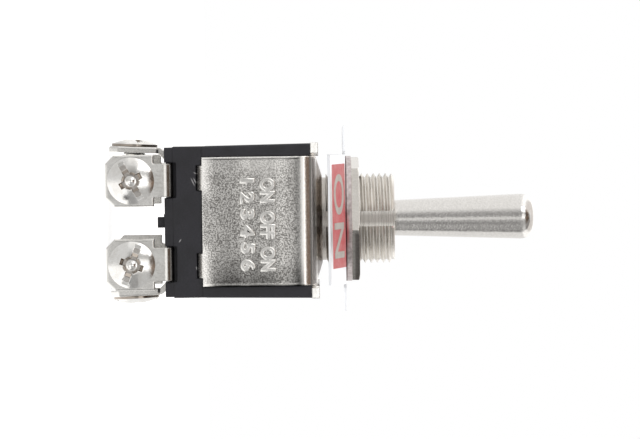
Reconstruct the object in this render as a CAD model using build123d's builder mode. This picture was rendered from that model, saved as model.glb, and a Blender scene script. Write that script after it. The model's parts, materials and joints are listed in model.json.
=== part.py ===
from build123d import *
import os
from math import cos, pi, radians, sin, sqrt, tan

# Panel-mount toggle switch: two poles, two throws, centre off, six screw terminals.
# Millimetres. +Z runs up the lever, X across the two poles, Y along the throw.
# The origin is under the bushing's axis, at the free ends of the terminals.
# Front is -Y, left is -X.

# Case
case_length = 33.0
base_width = 19.7
base_height = 4.87
foot_height = 1.12
foot_setback = 0.12
housing_flare = 0.2
housing_height = 14.1
case_wall = 1.4
case_round = 0.3
roof_thickness = 2.0
lip_height = 0.6
lip_clearance = 0.1
barrier_width = 0.9
barrier_height = 2.2
nub_width = 1.4
nub_length = 2.0
nub_height = 0.95
nub_round = 0.28
nub_inset = 1.2

# Terminals
terminal_drop = 7.63
terminal_sheet = 0.8
pole_inset = 4.4
plate_width = 6.7
plate_height = 6.3
plate_corner = 1.1
plate_rim = 0.25
neck_width = 4.3
neck_stub = 0.3
neck_fillet = 0.25
terminal_bend = 0.8
terminal_gap = 0.1
channel_clearance = 0.15
bend_relief = 0.4
leg_overrun = 2.2
common_plate_inset = 0.5
common_neck_inset = 1.45
common_splay = 2.5
common_bend = 0.4

# Terminal screws
screw_height = 3.3
screw_shank_radius = 1.5
screw_shank_length = 4.2
screw_head_radius = 3.05
screw_rim_height = 0.35
screw_head_height = 1.05
slot_width = 0.85
slot_depth = 0.5
cross_width = 0.8
cross_span = 3.1
cross_depth = 0.8
screw_clearance = 0.05
slot_angles = {
    "front_left": -60.0,
    "front_right": -110.0,
    "back_left": 25.0,
    "back_right": -35.0,
    "common_left": 70.0,
    "common_right": 15.0,
}

# Contacts
rivet_radius = 1.1
rivet_clearance = 0.03
peen_radius = 1.6
peen_height = 0.35
contact_inset = 5.9
contact_play = 0.125
fixed_contact_radius = 1.6
fixed_contact_height = 0.76
fixed_contact_crown = 0.25
moving_contact_radius = 1.4
moving_contact_height = 0.5

# Rockers and their cradles
rocker_tilt = 8.0
blade_thickness = 0.6
blade_width = 3.4
blade_overrun = 1.6
dish_radius = 7.0
dish_half_width = 3.4
trunnion_radius = 0.5
trunnion_length = 0.8
trunnion_clearance = 0.05
cradle_sheet = 0.6
cradle_gap = 0.25
cradle_length = 5.0
cradle_strap = 0.7
cradle_ear_width = 3.2
cradle_ear_rise = 0.7

# Mounting frame
frame_sheet = 1.05
frame_leg_inset = 1.45
frame_overhang = 0.1
frame_edge = 0.12
frame_bend = 2.05
frame_dip = 0.35
frame_proud = 0.5
ear_setback = 1.1
ear_notch_radius = 0.35
boss_radius = 8.35
boss_top_radius = 5.75
boss_height = 0.45
crimp_inset = 2.7
crimp_width = 3.2
crimp_depth = 0.7
recess_clearance = 0.05

# Bushing
thread_radius = 5.95
pitch_radius = 5.7
neck_radius = 5.5
neck_rise = 1.2
bushing_rise = 10.0
bushing_chamfer = 0.35
keyway_width = 2.0
keyway_radius = 5.4
flange_radius = 7.0
flange_height = 0.85
staking_clearance = 0.02
pivot_rise = 3.3
seat_mouth_radius = 2.55
mouth_radius = 4.0

# Lever
ball_radius = 3.4
ball_clearance = 0.06
stem_radius = 1.6
lever_neck_radius = 1.9
lever_base_radius = 2.35
lever_end_radius = 2.98
lever_length = 28.45
lever_round = 1.35
lever_cone_end = 1.7
pin_radius = 0.6
pin_length = 8.4
pin_clearance = 0.05

# Actuator, plungers and springs
actuator_half_length = 2.9
actuator_round = 1.45
actuator_wall = 0.75
actuator_height = 5.2
actuator_headroom = 1.0
socket_depth = 4.2
socket_clearance = 0.03
plunger_radius = 1.68
plunger_bore = 1.35
plunger_floor = 0.5
plunger_length = 3.8
plunger_clearance = 0.07
plunger_gap = 0.1
actuator_bore_depth = 4.5
spring_radius = 1.1
spring_wire = 0.34
spring_turns = 5.0

# Panel hardware
plate_thickness = 0.3
plate_radius = 12.3
tab_width = 17.0
tab_bend_at = 8.4
tab_reach = 16.0
tab_angle = 14.8
plate_hole = 6.1
key_width = 1.7
key_radius = 5.5
washer_thickness = 0.8
washer_radius = 8.3
washer_ring_radius = 7.0
washer_teeth = 12
washer_tooth_width = 1.5
washer_tooth_root = 0.14
nut_flats = 15.0
nut_thickness = 1.05
nut_chamfer = 0.25
nut_turn = 9.8
nut_rise = 4.32
thread_clearance = 0.03

# Heights worked out from the sizes above
base_bottom = terminal_drop
base_top = base_bottom + base_height
floor_top = base_top + lip_height
housing_top = base_top + housing_height
roof_bottom = housing_top - roof_thickness
frame_top = housing_top + frame_sheet
frame_seat = housing_top - frame_dip
strip_top = frame_top - frame_dip
flange_bottom = frame_seat - flange_height
boss_top = frame_top + boss_height
bushing_top = frame_top + bushing_rise
nut_bottom = frame_top + nut_rise
nut_top = nut_bottom + nut_thickness
washer_bottom = nut_bottom - washer_thickness
plate_bottom = washer_bottom - plate_thickness
pivot_height = frame_top + pivot_rise
lever_tip = frame_top + lever_length
leg_top = base_bottom + foot_height
leg_centre = leg_top - terminal_sheet / 2
fixed_contact_top = floor_top + fixed_contact_height
contact_reach = case_length / 2 - contact_inset
contact_gap = contact_reach * sin(radians(rocker_tilt)) + contact_play
wing_bottom = fixed_contact_top + contact_gap + moving_contact_height
wing_top = wing_bottom + blade_thickness
dish_depth = dish_radius - sqrt(dish_radius**2 - dish_half_width**2)
dish_bottom = wing_top - dish_depth
rocker_pivot = dish_bottom - blade_thickness / 2
plunger_tip = dish_bottom + plunger_gap
actuator_top = roof_bottom - actuator_headroom
actuator_bottom = actuator_top - actuator_height
spring_seat = actuator_bottom + actuator_bore_depth

# Widths and reaches worked out from the sizes above
housing_top_width = base_width + 2 * housing_flare
frame_leg_width = base_width - 2 * frame_leg_inset
frame_top_width = housing_top_width + 2 * frame_overhang
crimp_offset = frame_leg_width / 2 - crimp_inset
pole_offset = base_width / 2 - pole_inset
common_plate_offset = base_width / 2 - common_plate_inset
common_neck_offset = base_width / 2 - common_neck_inset
inner_half_width = base_width / 2 - case_wall
inner_half_length = case_length / 2 - case_wall
lip_half_width = inner_half_width - lip_clearance
lip_half_length = inner_half_length - lip_clearance
frame_leg_outside = case_length / 2 + frame_proud
terminal_plane = case_length / 2 + terminal_gap + terminal_sheet / 2
actuator_half_width = pole_offset + plunger_radius + plunger_clearance + actuator_wall
cradle_inner = blade_width / 2 + cradle_gap
cradle_outer = cradle_inner + cradle_sheet
rocker_half_length = contact_reach + blade_overrun

SIDES = {"left": -1, "right": 1}
ENDS = {"front": -1, "back": 1}


def make_frame():
    """U-bracket folded from one sheet, with joggled side ears, a boss and crimp tabs."""
    leg_line = frame_leg_outside - frame_sheet / 2
    top_line = strip_top - frame_sheet / 2
    ear_half_length = case_length / 2 - ear_setback
    ear_width = (frame_top_width - frame_leg_width) / 2
    ear_offset = (frame_top_width + frame_leg_width) / 4
    with BuildPart() as frame:
        with BuildSketch(Plane.YZ):
            with BuildLine():
                FilletPolyline(
                    (-leg_line, base_top),
                    (-leg_line, top_line),
                    (leg_line, top_line),
                    (leg_line, base_top),
                    radius=frame_bend - frame_sheet / 2,
                )
            trace(line_width=frame_sheet)
        extrude(amount=frame_leg_width / 2, both=True)
        legs = frame.faces().filter_by(Axis.Y).sort_by(Axis.Y)
        outline = legs[0].edges() + legs[-1].edges()
        fillet(outline.filter_by(Axis.Z) + outline.group_by(Axis.Z)[0], radius=frame_edge)
        with BuildSketch(Plane.XY.offset(housing_top)):
            with GridLocations(2 * ear_offset, 0, 2, 1):
                Rectangle(ear_width, 2 * ear_half_length)
        extrude(amount=frame_sheet)
        with BuildSketch(Plane.XY.offset(frame_seat)):
            with GridLocations(frame_leg_width, 2 * ear_half_length, 2, 2):
                Circle(ear_notch_radius)
        extrude(amount=frame_sheet + frame_dip, mode=Mode.SUBTRACT)
        with BuildSketch(Plane.XZ):
            Polygon(
                (0, strip_top),
                (boss_radius, strip_top),
                (boss_top_radius, boss_top),
                (0, boss_top),
                align=None,
            )
        revolve(axis=Axis.Z)
        with BuildSketch(Plane.XY.offset(frame_seat)):
            Circle(neck_radius + staking_clearance)
        extrude(amount=boss_top - frame_seat, mode=Mode.SUBTRACT)
        for side in SIDES.values():
            with BuildSketch(Plane.YZ.offset(side * crimp_offset)):
                Polygon(
                    (frame_leg_outside, base_top),
                    (frame_leg_outside - frame_sheet, base_top),
                    (frame_leg_outside - frame_sheet - crimp_depth, base_top - crimp_depth),
                    (frame_leg_outside - crimp_depth, base_top - crimp_depth),
                    align=None,
                )
                mirror(about=Plane.YZ)
            extrude(amount=crimp_width / 2, both=True)
    return frame.part


def make_bushing():
    """Threaded bushing with a flange under the frame, a keyway and the lever's ball seat."""
    with BuildPart() as bushing:
        with BuildSketch(Plane.XZ):
            Polygon(
                (0, flange_bottom),
                (flange_radius, flange_bottom),
                (flange_radius, frame_seat),
                (neck_radius, frame_seat),
                (neck_radius, boss_top + neck_rise),
                (pitch_radius, boss_top + neck_rise + pitch_radius - neck_radius),
                (pitch_radius, nut_top),
                (thread_radius, nut_top),
                (thread_radius, bushing_top - bushing_chamfer),
                (thread_radius - bushing_chamfer, bushing_top),
                (0, bushing_top),
                align=None,
            )
        revolve(axis=Axis.Z)
        seat_radius = ball_radius + ball_clearance
        seat_rise = sqrt(seat_radius**2 - seat_mouth_radius**2)
        with BuildSketch(Plane.XZ):
            with BuildLine():
                seat = RadiusArc(
                    (seat_radius, pivot_height),
                    (seat_mouth_radius, pivot_height + seat_rise),
                    -seat_radius,
                )
                Polyline(
                    seat @ 1,
                    (mouth_radius, bushing_top),
                    (0, bushing_top),
                    (0, flange_bottom),
                    (seat_radius, flange_bottom),
                    seat @ 0,
                )
            make_face()
        revolve(axis=Axis.Z, mode=Mode.SUBTRACT)
        with BuildSketch(Plane.XY.offset(boss_top + neck_rise)):
            with Locations((0, -keyway_radius - neck_radius / 2)):
                Rectangle(keyway_width, neck_radius)
        extrude(amount=bushing_top - boss_top - neck_rise, mode=Mode.SUBTRACT)
        with BuildSketch(Plane.YZ):
            with Locations((0, pivot_height)):
                Circle(pin_radius + pin_clearance)
            with BuildLine():
                slot_half = pin_radius + pin_clearance
                Polyline(
                    (-slot_half, pivot_height),
                    (-slot_half, flange_bottom),
                    (slot_half, flange_bottom),
                    (slot_half, pivot_height),
                    close=True,
                )
            make_face()
        extrude(amount=pin_length / 2 + pin_clearance, both=True, mode=Mode.SUBTRACT)
    return bushing.part


def make_lever():
    """Bat lever turned in one piece with its ball and the stem that works the actuator."""
    stem_end = actuator_top - socket_depth + socket_clearance
    ball_low = pivot_height - sqrt(ball_radius**2 - stem_radius**2)
    ball_high = pivot_height + sqrt(ball_radius**2 - lever_neck_radius**2)
    with BuildPart() as lever:
        with BuildSketch(Plane.XZ):
            with BuildLine():
                stem = Polyline((0, stem_end), (stem_radius, stem_end), (stem_radius, ball_low))
                ball = ThreePointArc(
                    stem @ 1,
                    (ball_radius, pivot_height),
                    (lever_neck_radius, ball_high),
                )
                bat = Polyline(
                    ball @ 1,
                    (lever_base_radius, bushing_top),
                    (lever_end_radius, lever_tip - lever_cone_end),
                )
                tip = RadiusArc(
                    bat @ 1,
                    (lever_end_radius - lever_round, lever_tip),
                    -lever_cone_end,
                )
                Polyline(tip @ 1, (0, lever_tip), stem @ 0)
            make_face()
        revolve(axis=Axis.Z)
        with BuildSketch(Plane.YZ):
            with Locations((0, pivot_height)):
                Circle(pin_radius)
        extrude(amount=pin_length / 2, both=True, mode=Mode.SUBTRACT)
    return lever.part


def make_lever_pin():
    """Cross pin through the ball, the hinge of the lever."""
    with BuildPart() as lever_pin:
        with BuildSketch(Plane.YZ):
            with Locations((0, pivot_height)):
                Circle(pin_radius)
        extrude(amount=pin_length / 2, both=True)
    return lever_pin.part


def make_housing():
    """Moulded case with drafted sides, open below, grooved for the frame's strip."""
    half_top = housing_top_width / 2
    recess_plane = frame_leg_outside - frame_sheet - recess_clearance
    inner_bend = frame_bend - frame_sheet + recess_clearance
    recess_half = frame_leg_width / 2 + recess_clearance
    with BuildPart() as housing:
        with BuildSketch(Plane.XZ):
            Polygon(
                (-base_width / 2, base_top),
                (base_width / 2, base_top),
                (half_top, housing_top),
                (-half_top, housing_top),
                align=None,
            )
        extrude(amount=case_length / 2, both=True)
        uprights = [e for e in housing.edges() if e.bounding_box().size.Z > housing_height / 2]
        fillet(uprights, radius=case_round)
        with BuildSketch(Plane.XY.offset(base_top)):
            Rectangle(2 * inner_half_width, 2 * inner_half_length)
        extrude(amount=roof_bottom - base_top, mode=Mode.SUBTRACT)
        with BuildSketch(Plane.XY.offset(roof_bottom)):
            Circle(mouth_radius + actuator_wall)
        extrude(amount=roof_thickness, mode=Mode.SUBTRACT)
        with BuildSketch(Plane.XY.offset(housing_top)):
            Circle(flange_radius + recess_clearance)
        extrude(amount=flange_bottom - recess_clearance - housing_top, mode=Mode.SUBTRACT)
        with BuildSketch(Plane.YZ):
            Polygon(
                (recess_plane, base_top),
                (recess_plane, frame_seat - inner_bend),
                (recess_plane - inner_bend, frame_seat),
                (0, frame_seat),
                (0, housing_top),
                (frame_leg_outside, housing_top),
                (frame_leg_outside, base_top),
                align=None,
            )
            mirror(about=Plane.YZ)
        extrude(amount=recess_half, both=True, mode=Mode.SUBTRACT)
    return housing.part


def make_base():
    """Moulded base with a locating lip, a barrier between the poles and channels below."""
    half_length = case_length / 2
    channel_width = neck_width + 2 * channel_clearance
    end_inner = contact_reach - leg_overrun - channel_clearance
    common_inner = pole_offset - leg_overrun - channel_clearance
    common_outer = common_neck_offset + terminal_sheet / 2 + channel_clearance
    with BuildPart() as base:
        with BuildSketch(Plane.XY.offset(base_bottom)):
            RectangleRounded(base_width - 2 * foot_setback, case_length - 2 * foot_setback, case_round)
        extrude(amount=foot_height)
        with BuildSketch(Plane.XY.offset(base_bottom + foot_height)):
            RectangleRounded(base_width, case_length, case_round)
        extrude(amount=base_height - foot_height)
        with BuildSketch(Plane.XY.offset(base_top)):
            Rectangle(2 * lip_half_width, 2 * lip_half_length)
        extrude(amount=lip_height)
        with BuildSketch(Plane.XY.offset(floor_top)):
            Rectangle(barrier_width, 2 * (contact_reach + fixed_contact_radius))
        extrude(amount=barrier_height)
        with BuildSketch(Plane.XY.offset(base_bottom)):
            with GridLocations(0, 2 * (half_length - nub_inset) - nub_length, 1, 2):
                RectangleRounded(nub_width, nub_length, nub_round)
        extrude(amount=-nub_height)
        with BuildSketch(Plane.XY.offset(base_bottom)):
            for side in SIDES.values():
                for end in ENDS.values():
                    with Locations((side * pole_offset, end * (half_length + end_inner) / 2)):
                        Rectangle(channel_width, half_length - end_inner)
                with Locations((side * (common_outer + common_inner) / 2, 0)):
                    Rectangle(common_outer - common_inner, channel_width)
        extrude(amount=foot_height, mode=Mode.SUBTRACT)
        with BuildSketch(Plane.XY.offset(base_bottom)):
            with GridLocations(2 * pole_offset, 2 * half_length, 2, 2):
                Rectangle(channel_width, 2 * terminal_bend)
        extrude(amount=foot_height + bend_relief, mode=Mode.SUBTRACT)
        with BuildSketch(Plane.XY.offset(base_bottom)):
            with GridLocations(2 * pole_offset, contact_reach, 2, 3):
                Circle(rivet_radius + rivet_clearance)
        extrude(amount=floor_top - base_bottom, mode=Mode.SUBTRACT)
        notch_depth = frame_sheet + crimp_depth - frame_proud + recess_clearance
        with BuildSketch(Plane.XY.offset(base_top)):
            with GridLocations(2 * crimp_offset, case_length - notch_depth, 2, 2):
                Rectangle(crimp_width + 2 * recess_clearance, notch_depth)
        extrude(amount=-crimp_depth - recess_clearance, mode=Mode.SUBTRACT)
    return base.part


def terminal_plate_outline():
    """Screw plate with cut corners, rounded shoulders and the first of the neck."""
    neck_end = plate_height + neck_stub
    outline = Polygon(
        (-plate_width / 2, 0),
        (plate_width / 2, 0),
        (plate_width / 2, plate_height),
        (neck_width / 2, plate_height),
        (neck_width / 2, neck_end),
        (-neck_width / 2, neck_end),
        (-neck_width / 2, plate_height),
        (-plate_width / 2, plate_height),
        align=None,
    )
    corners = outline.vertices().group_by(Axis.Y)
    chamfer(corners[0], length=plate_corner)
    shoulders = [v for v in corners[1] if abs(v.X) < plate_width / 2 - neck_fillet]
    fillet(shoulders, radius=neck_fillet)


def make_end_terminal(side, end):
    """End terminal: screw plate, neck, and a leg bent in under the base to its rivet."""
    foot = (side * pole_offset, end * terminal_plane, 0)
    face = Plane(origin=foot, x_dir=(-end, 0, 0), z_dir=(0, end, 0))
    with BuildPart() as terminal:
        with BuildSketch(face):
            terminal_plate_outline()
        extrude(amount=terminal_sheet / 2, both=True)
        front = terminal.faces().sort_by(Axis.Y)[0 if end < 0 else -1]
        fillet(front.edges().sort_by(Axis.Z)[:-1], radius=plate_rim)
        with BuildSketch(Plane.YZ.offset(side * pole_offset)):
            with BuildLine():
                FilletPolyline(
                    (end * terminal_plane, plate_height - terminal_bend),
                    (end * terminal_plane, leg_centre),
                    (end * (contact_reach - leg_overrun), leg_centre),
                    radius=terminal_bend,
                )
            trace(line_width=terminal_sheet)
        extrude(amount=neck_width / 2, both=True)
        with BuildSketch(Plane.XY.offset(leg_top)):
            with Locations((side * pole_offset, end * contact_reach)):
                Circle(rivet_radius + rivet_clearance)
        extrude(amount=-2 * terminal_sheet, mode=Mode.SUBTRACT)
        with BuildSketch(face):
            with Locations((0, screw_height)):
                Circle(screw_shank_radius + screw_clearance)
        extrude(amount=terminal_sheet, both=True, mode=Mode.SUBTRACT)
    return terminal.part


def common_face(side):
    """Mid-plane of a middle terminal's screw plate, leaning out at its free end."""
    lean = radians(common_splay)
    foot = common_plate_offset + plate_height * tan(lean)
    return Plane(
        origin=(side * foot, 0, 0),
        x_dir=(0, side, 0),
        z_dir=(side * cos(lean), 0, sin(lean)),
    )


def make_common_terminal(side):
    """Middle terminal: splayed screw plate, joggled neck, and a leg under the base."""
    face = common_face(side)
    lean = radians(common_splay)
    stub_end = plate_height + neck_stub
    stub_offset = common_plate_offset - neck_stub * tan(lean)
    joggle = stub_offset - common_neck_offset
    strip_start = plate_height - terminal_bend
    with BuildPart() as terminal:
        with BuildSketch(face):
            terminal_plate_outline()
        extrude(amount=terminal_sheet / 2, both=True)
        front = terminal.faces().filter_by(face).sort_by(Axis.X)[0 if side < 0 else -1]
        fillet(front.edges().sort_by(Axis.Z)[:-1], radius=plate_rim)
        with BuildSketch(Plane.XZ):
            with BuildLine():
                FilletPolyline(
                    (side * (common_plate_offset + terminal_bend * tan(lean)), strip_start),
                    (side * stub_offset, stub_end),
                    (side * common_neck_offset, stub_end + joggle),
                    (side * common_neck_offset, leg_centre),
                    (side * (pole_offset - leg_overrun), leg_centre),
                    radius=common_bend,
                )
            trace(line_width=terminal_sheet)
        extrude(amount=neck_width / 2, both=True)
        with BuildSketch(Plane.XY.offset(leg_top)):
            with Locations((side * pole_offset, 0)):
                Circle(rivet_radius + rivet_clearance)
        extrude(amount=-2 * terminal_sheet, mode=Mode.SUBTRACT)
        with BuildSketch(face):
            with Locations((0, screw_height)):
                Circle(screw_shank_radius + screw_clearance)
        extrude(amount=terminal_sheet, both=True, mode=Mode.SUBTRACT)
    return terminal.part


def screw_plane(place):
    """Plane on a terminal's outer face at its screw, facing out, with its x axis up."""
    if place.startswith("common"):
        face = common_face(SIDES[place.split("_")[1]])
        middle = face.from_local_coords((0, screw_height, terminal_sheet / 2))
        return Plane(origin=middle, x_dir=face.y_dir, z_dir=face.z_dir)
    end, side = place.split("_")
    front = ENDS[end] * (terminal_plane + terminal_sheet / 2)
    return Plane(
        origin=(SIDES[side] * pole_offset, front, screw_height),
        x_dir=(0, 0, 1),
        z_dir=(0, ENDS[end], 0),
    )


def make_screw(place):
    """Terminal screw with a domed head, a slot and a cross recess."""
    seat = screw_plane(place)
    section = Plane(origin=seat.origin, x_dir=seat.x_dir, z_dir=-seat.y_dir)
    top = seat.offset(screw_head_height)
    with BuildPart() as screw:
        with BuildSketch(section):
            with BuildLine():
                rim = Polyline(
                    (0, -screw_shank_length),
                    (screw_shank_radius, -screw_shank_length),
                    (screw_shank_radius, 0),
                    (screw_head_radius, 0),
                    (screw_head_radius, screw_rim_height),
                )
                rise = screw_head_height - screw_rim_height
                dome_radius = (screw_head_radius**2 + rise**2) / (2 * rise)
                dome = RadiusArc(rim @ 1, (0, screw_head_height), -dome_radius)
                Line(dome @ 1, rim @ 0)
            make_face()
        revolve(axis=Axis(seat.origin, seat.z_dir))
        with BuildSketch(top):
            Rectangle(2 * screw_head_radius, slot_width, rotation=slot_angles[place])
        extrude(amount=-slot_depth, mode=Mode.SUBTRACT)
        with BuildSketch(top):
            for turn in (0, 90):
                Rectangle(cross_span, cross_width, rotation=slot_angles[place] + turn)
        extrude(amount=-cross_depth, mode=Mode.SUBTRACT)
    return screw.part


def make_fixed_contact(side, end):
    """Contact rivet: domed head on the base's floor, shank through the terminal's leg."""
    rim = fixed_contact_height - fixed_contact_crown
    crown_radius = (fixed_contact_radius**2 + fixed_contact_crown**2) / (2 * fixed_contact_crown)
    leg_bottom = leg_top - terminal_sheet
    plane = Plane(origin=(side * pole_offset, end * contact_reach, 0), x_dir=(1, 0, 0), z_dir=(0, -1, 0))
    with BuildPart() as contact:
        with BuildSketch(plane):
            with BuildLine():
                low = Polyline(
                    (0, leg_bottom - peen_height),
                    (peen_radius, leg_bottom - peen_height),
                    (peen_radius, leg_bottom),
                    (rivet_radius, leg_bottom),
                    (rivet_radius, floor_top),
                    (fixed_contact_radius, floor_top),
                    (fixed_contact_radius, floor_top + rim),
                )
                crown = RadiusArc(low @ 1, (0, fixed_contact_top), -crown_radius)
                Line(crown @ 1, low @ 0)
            make_face()
        revolve(axis=Axis(plane.origin, (0, 0, 1)))
    return contact.part


def make_cradle(side):
    """Rocker's pivot: a strap with two notched ears, riveted through the base."""
    ear_top = rocker_pivot + cradle_ear_rise
    leg_bottom = leg_top - terminal_sheet
    with BuildPart() as cradle:
        with BuildSketch(Plane.XZ):
            with Locations((side * pole_offset, floor_top)):
                Rectangle(2 * cradle_outer, ear_top - floor_top, align=(Align.CENTER, Align.MIN))
            with Locations((side * pole_offset, floor_top + cradle_strap)):
                Rectangle(2 * cradle_inner, ear_top, align=(Align.CENTER, Align.MIN), mode=Mode.SUBTRACT)
        extrude(amount=cradle_ear_width / 2, both=True)
        with BuildSketch(Plane.XY.offset(floor_top)):
            with Locations((side * pole_offset, 0)):
                Rectangle(2 * cradle_inner, cradle_length)
        extrude(amount=cradle_strap)
        with BuildSketch(Plane.YZ.offset(side * pole_offset)):
            with Locations((0, rocker_pivot)):
                Circle(trunnion_radius + trunnion_clearance)
            with Locations((0, rocker_pivot)):
                Rectangle(
                    2 * (trunnion_radius + trunnion_clearance),
                    2 * cradle_ear_rise,
                    align=(Align.CENTER, Align.MIN),
                )
        extrude(amount=2 * cradle_outer, both=True, mode=Mode.SUBTRACT)
        with BuildSketch(Plane.XY.offset(leg_bottom - peen_height)):
            with Locations((side * pole_offset, 0)):
                Circle(rivet_radius)
        extrude(amount=floor_top - leg_bottom + peen_height)
        with BuildSketch(Plane.XY.offset(leg_bottom - peen_height)):
            with Locations((side * pole_offset, 0)):
                Circle(peen_radius)
        extrude(amount=peen_height)
    return cradle.part


def make_rocker(side):
    """See-saw blade with a dished middle, two wings and two trunnions."""
    dish_centre = dish_bottom + dish_radius
    with BuildPart() as rocker:
        with BuildSketch(Plane.YZ.offset(side * pole_offset)):
            with BuildLine():
                dish = ThreePointArc(
                    (-dish_half_width, wing_top), (0, dish_bottom), (dish_half_width, wing_top)
                )
                outer = dish_radius + blade_thickness
                under_half = sqrt(outer**2 - (dish_centre - wing_bottom) ** 2)
                under = ThreePointArc(
                    (-under_half, wing_bottom),
                    (0, dish_bottom - blade_thickness),
                    (under_half, wing_bottom),
                )
                Polyline(
                    dish @ 1,
                    (rocker_half_length, wing_top),
                    (rocker_half_length, wing_bottom),
                    under @ 1,
                )
                Polyline(
                    dish @ 0,
                    (-rocker_half_length, wing_top),
                    (-rocker_half_length, wing_bottom),
                    under @ 0,
                )
            make_face()
        extrude(amount=blade_width / 2, both=True)
        for way in (-1, 1):
            root = side * pole_offset + way * blade_width / 2
            with BuildSketch(Plane.YZ.offset(root)):
                with Locations((0, rocker_pivot)):
                    Circle(trunnion_radius)
            extrude(amount=way * trunnion_length)
    return rocker.part


def make_moving_contact(side, end):
    """Silver button under a rocker's wing."""
    with BuildPart() as contact:
        with BuildSketch(Plane.XY.offset(wing_bottom)):
            with Locations((side * pole_offset, end * contact_reach)):
                Circle(moving_contact_radius)
        extrude(amount=-moving_contact_height)
    return contact.part


def make_actuator():
    """Insulating block on the lever's stem, with a bore for each pole's plunger."""
    with BuildPart() as actuator:
        with BuildSketch(Plane.XY.offset(actuator_bottom)):
            RectangleRounded(2 * actuator_half_width, 2 * actuator_half_length, actuator_round)
        extrude(amount=actuator_height)
        with BuildSketch(Plane.XY.offset(actuator_top)):
            Circle(stem_radius + socket_clearance)
        extrude(amount=-socket_depth, mode=Mode.SUBTRACT)
        with BuildSketch(Plane.XY.offset(actuator_bottom)):
            with GridLocations(2 * pole_offset, 0, 2, 1):
                Circle(plunger_radius + plunger_clearance)
        extrude(amount=actuator_bore_depth, mode=Mode.SUBTRACT)
    return actuator.part


def make_plunger(side):
    """Hollow plunger with a round nose, which the spring pushes onto the rocker."""
    centre = plunger_tip + plunger_radius
    rim = plunger_tip + plunger_length
    plane = Plane(origin=(side * pole_offset, 0, 0), x_dir=(1, 0, 0), z_dir=(0, -1, 0))
    with BuildPart() as plunger:
        with BuildSketch(plane):
            with BuildLine():
                nose = RadiusArc((0, plunger_tip), (plunger_radius, centre), -plunger_radius)
                Polyline(
                    nose @ 1,
                    (plunger_radius, rim),
                    (plunger_bore, rim),
                    (plunger_bore, centre + plunger_floor),
                    (0, centre + plunger_floor),
                    nose @ 0,
                )
            make_face()
        revolve(axis=Axis(plane.origin, (0, 0, 1)))
    return plunger.part


def make_spring(side):
    """Compression spring between the plunger's floor and the end of the actuator's bore."""
    low = plunger_tip + plunger_radius + plunger_floor + spring_wire / 2
    high = spring_seat - spring_wire / 2
    with BuildPart() as spring:
        with BuildLine():
            coil = Helix(
                pitch=(high - low) / spring_turns,
                height=high - low,
                radius=spring_radius,
                center=(side * pole_offset, 0, low),
            )
        with BuildSketch(Plane(origin=coil @ 0, z_dir=coil % 0)):
            Circle(spring_wire / 2)
        sweep()
    return spring.part


def make_indicator_plate():
    """Thin round plate with a tab bent back at each end and a key in the bushing's keyway."""
    middle = plate_bottom + plate_thickness / 2
    tab_end = middle - (tab_reach - tab_bend_at) * tan(radians(tab_angle))
    with BuildPart() as plate:
        with BuildSketch(Plane.XY.offset(plate_bottom)):
            Circle(plate_radius)
            Rectangle(2 * plate_radius, 2 * tab_bend_at, mode=Mode.INTERSECT)
        extrude(amount=plate_thickness)
        with BuildSketch(Plane.YZ):
            with BuildLine():
                FilletPolyline(
                    (-tab_reach, tab_end),
                    (-tab_bend_at, middle),
                    (tab_bend_at, middle),
                    (tab_reach, tab_end),
                    radius=plate_thickness,
                )
            trace(line_width=plate_thickness)
        extrude(amount=tab_width / 2, both=True)
        with BuildSketch(Plane.XY.offset(plate_bottom)):
            Circle(plate_hole)
            with Locations((0, -key_radius)):
                Rectangle(key_width, 2 * key_radius, align=(Align.CENTER, Align.MAX), mode=Mode.SUBTRACT)
        extrude(amount=plate_thickness, mode=Mode.SUBTRACT)
    return plate.part


def make_lock_washer():
    """Washer with teeth round its inside."""
    with BuildPart() as washer:
        with BuildSketch(Plane.XY.offset(washer_bottom)):
            Circle(washer_radius)
            Circle(washer_ring_radius, mode=Mode.SUBTRACT)
            with PolarLocations((plate_hole + washer_ring_radius) / 2, washer_teeth):
                Rectangle(washer_ring_radius - plate_hole + washer_tooth_root, washer_tooth_width)
            Circle(plate_hole, mode=Mode.SUBTRACT)
        extrude(amount=washer_thickness)
    return washer.part


def make_nut():
    """Thin hexagon nut with its upper corners chamfered."""
    corner = nut_flats / 2 / cos(pi / 6)
    with BuildPart() as nut:
        with BuildSketch(Plane.XY.offset(nut_bottom)):
            RegularPolygon(radius=corner, side_count=6, rotation=nut_turn - 90)
            Circle(pitch_radius + thread_clearance, mode=Mode.SUBTRACT)
        extrude(amount=nut_thickness)
        with BuildSketch(Plane.XZ):
            Polygon(
                (nut_flats / 2, nut_top + nut_chamfer),
                (corner + nut_chamfer, nut_top + nut_chamfer),
                (corner + nut_chamfer, nut_top - nut_chamfer),
                align=None,
            )
        revolve(axis=Axis.Z, mode=Mode.SUBTRACT)
    return nut.part


def write_part(name, part):
    """Labels one finished piece and writes it to its own file."""
    part.label = name
    export_step(part, f"parts/{name}.step")


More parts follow.
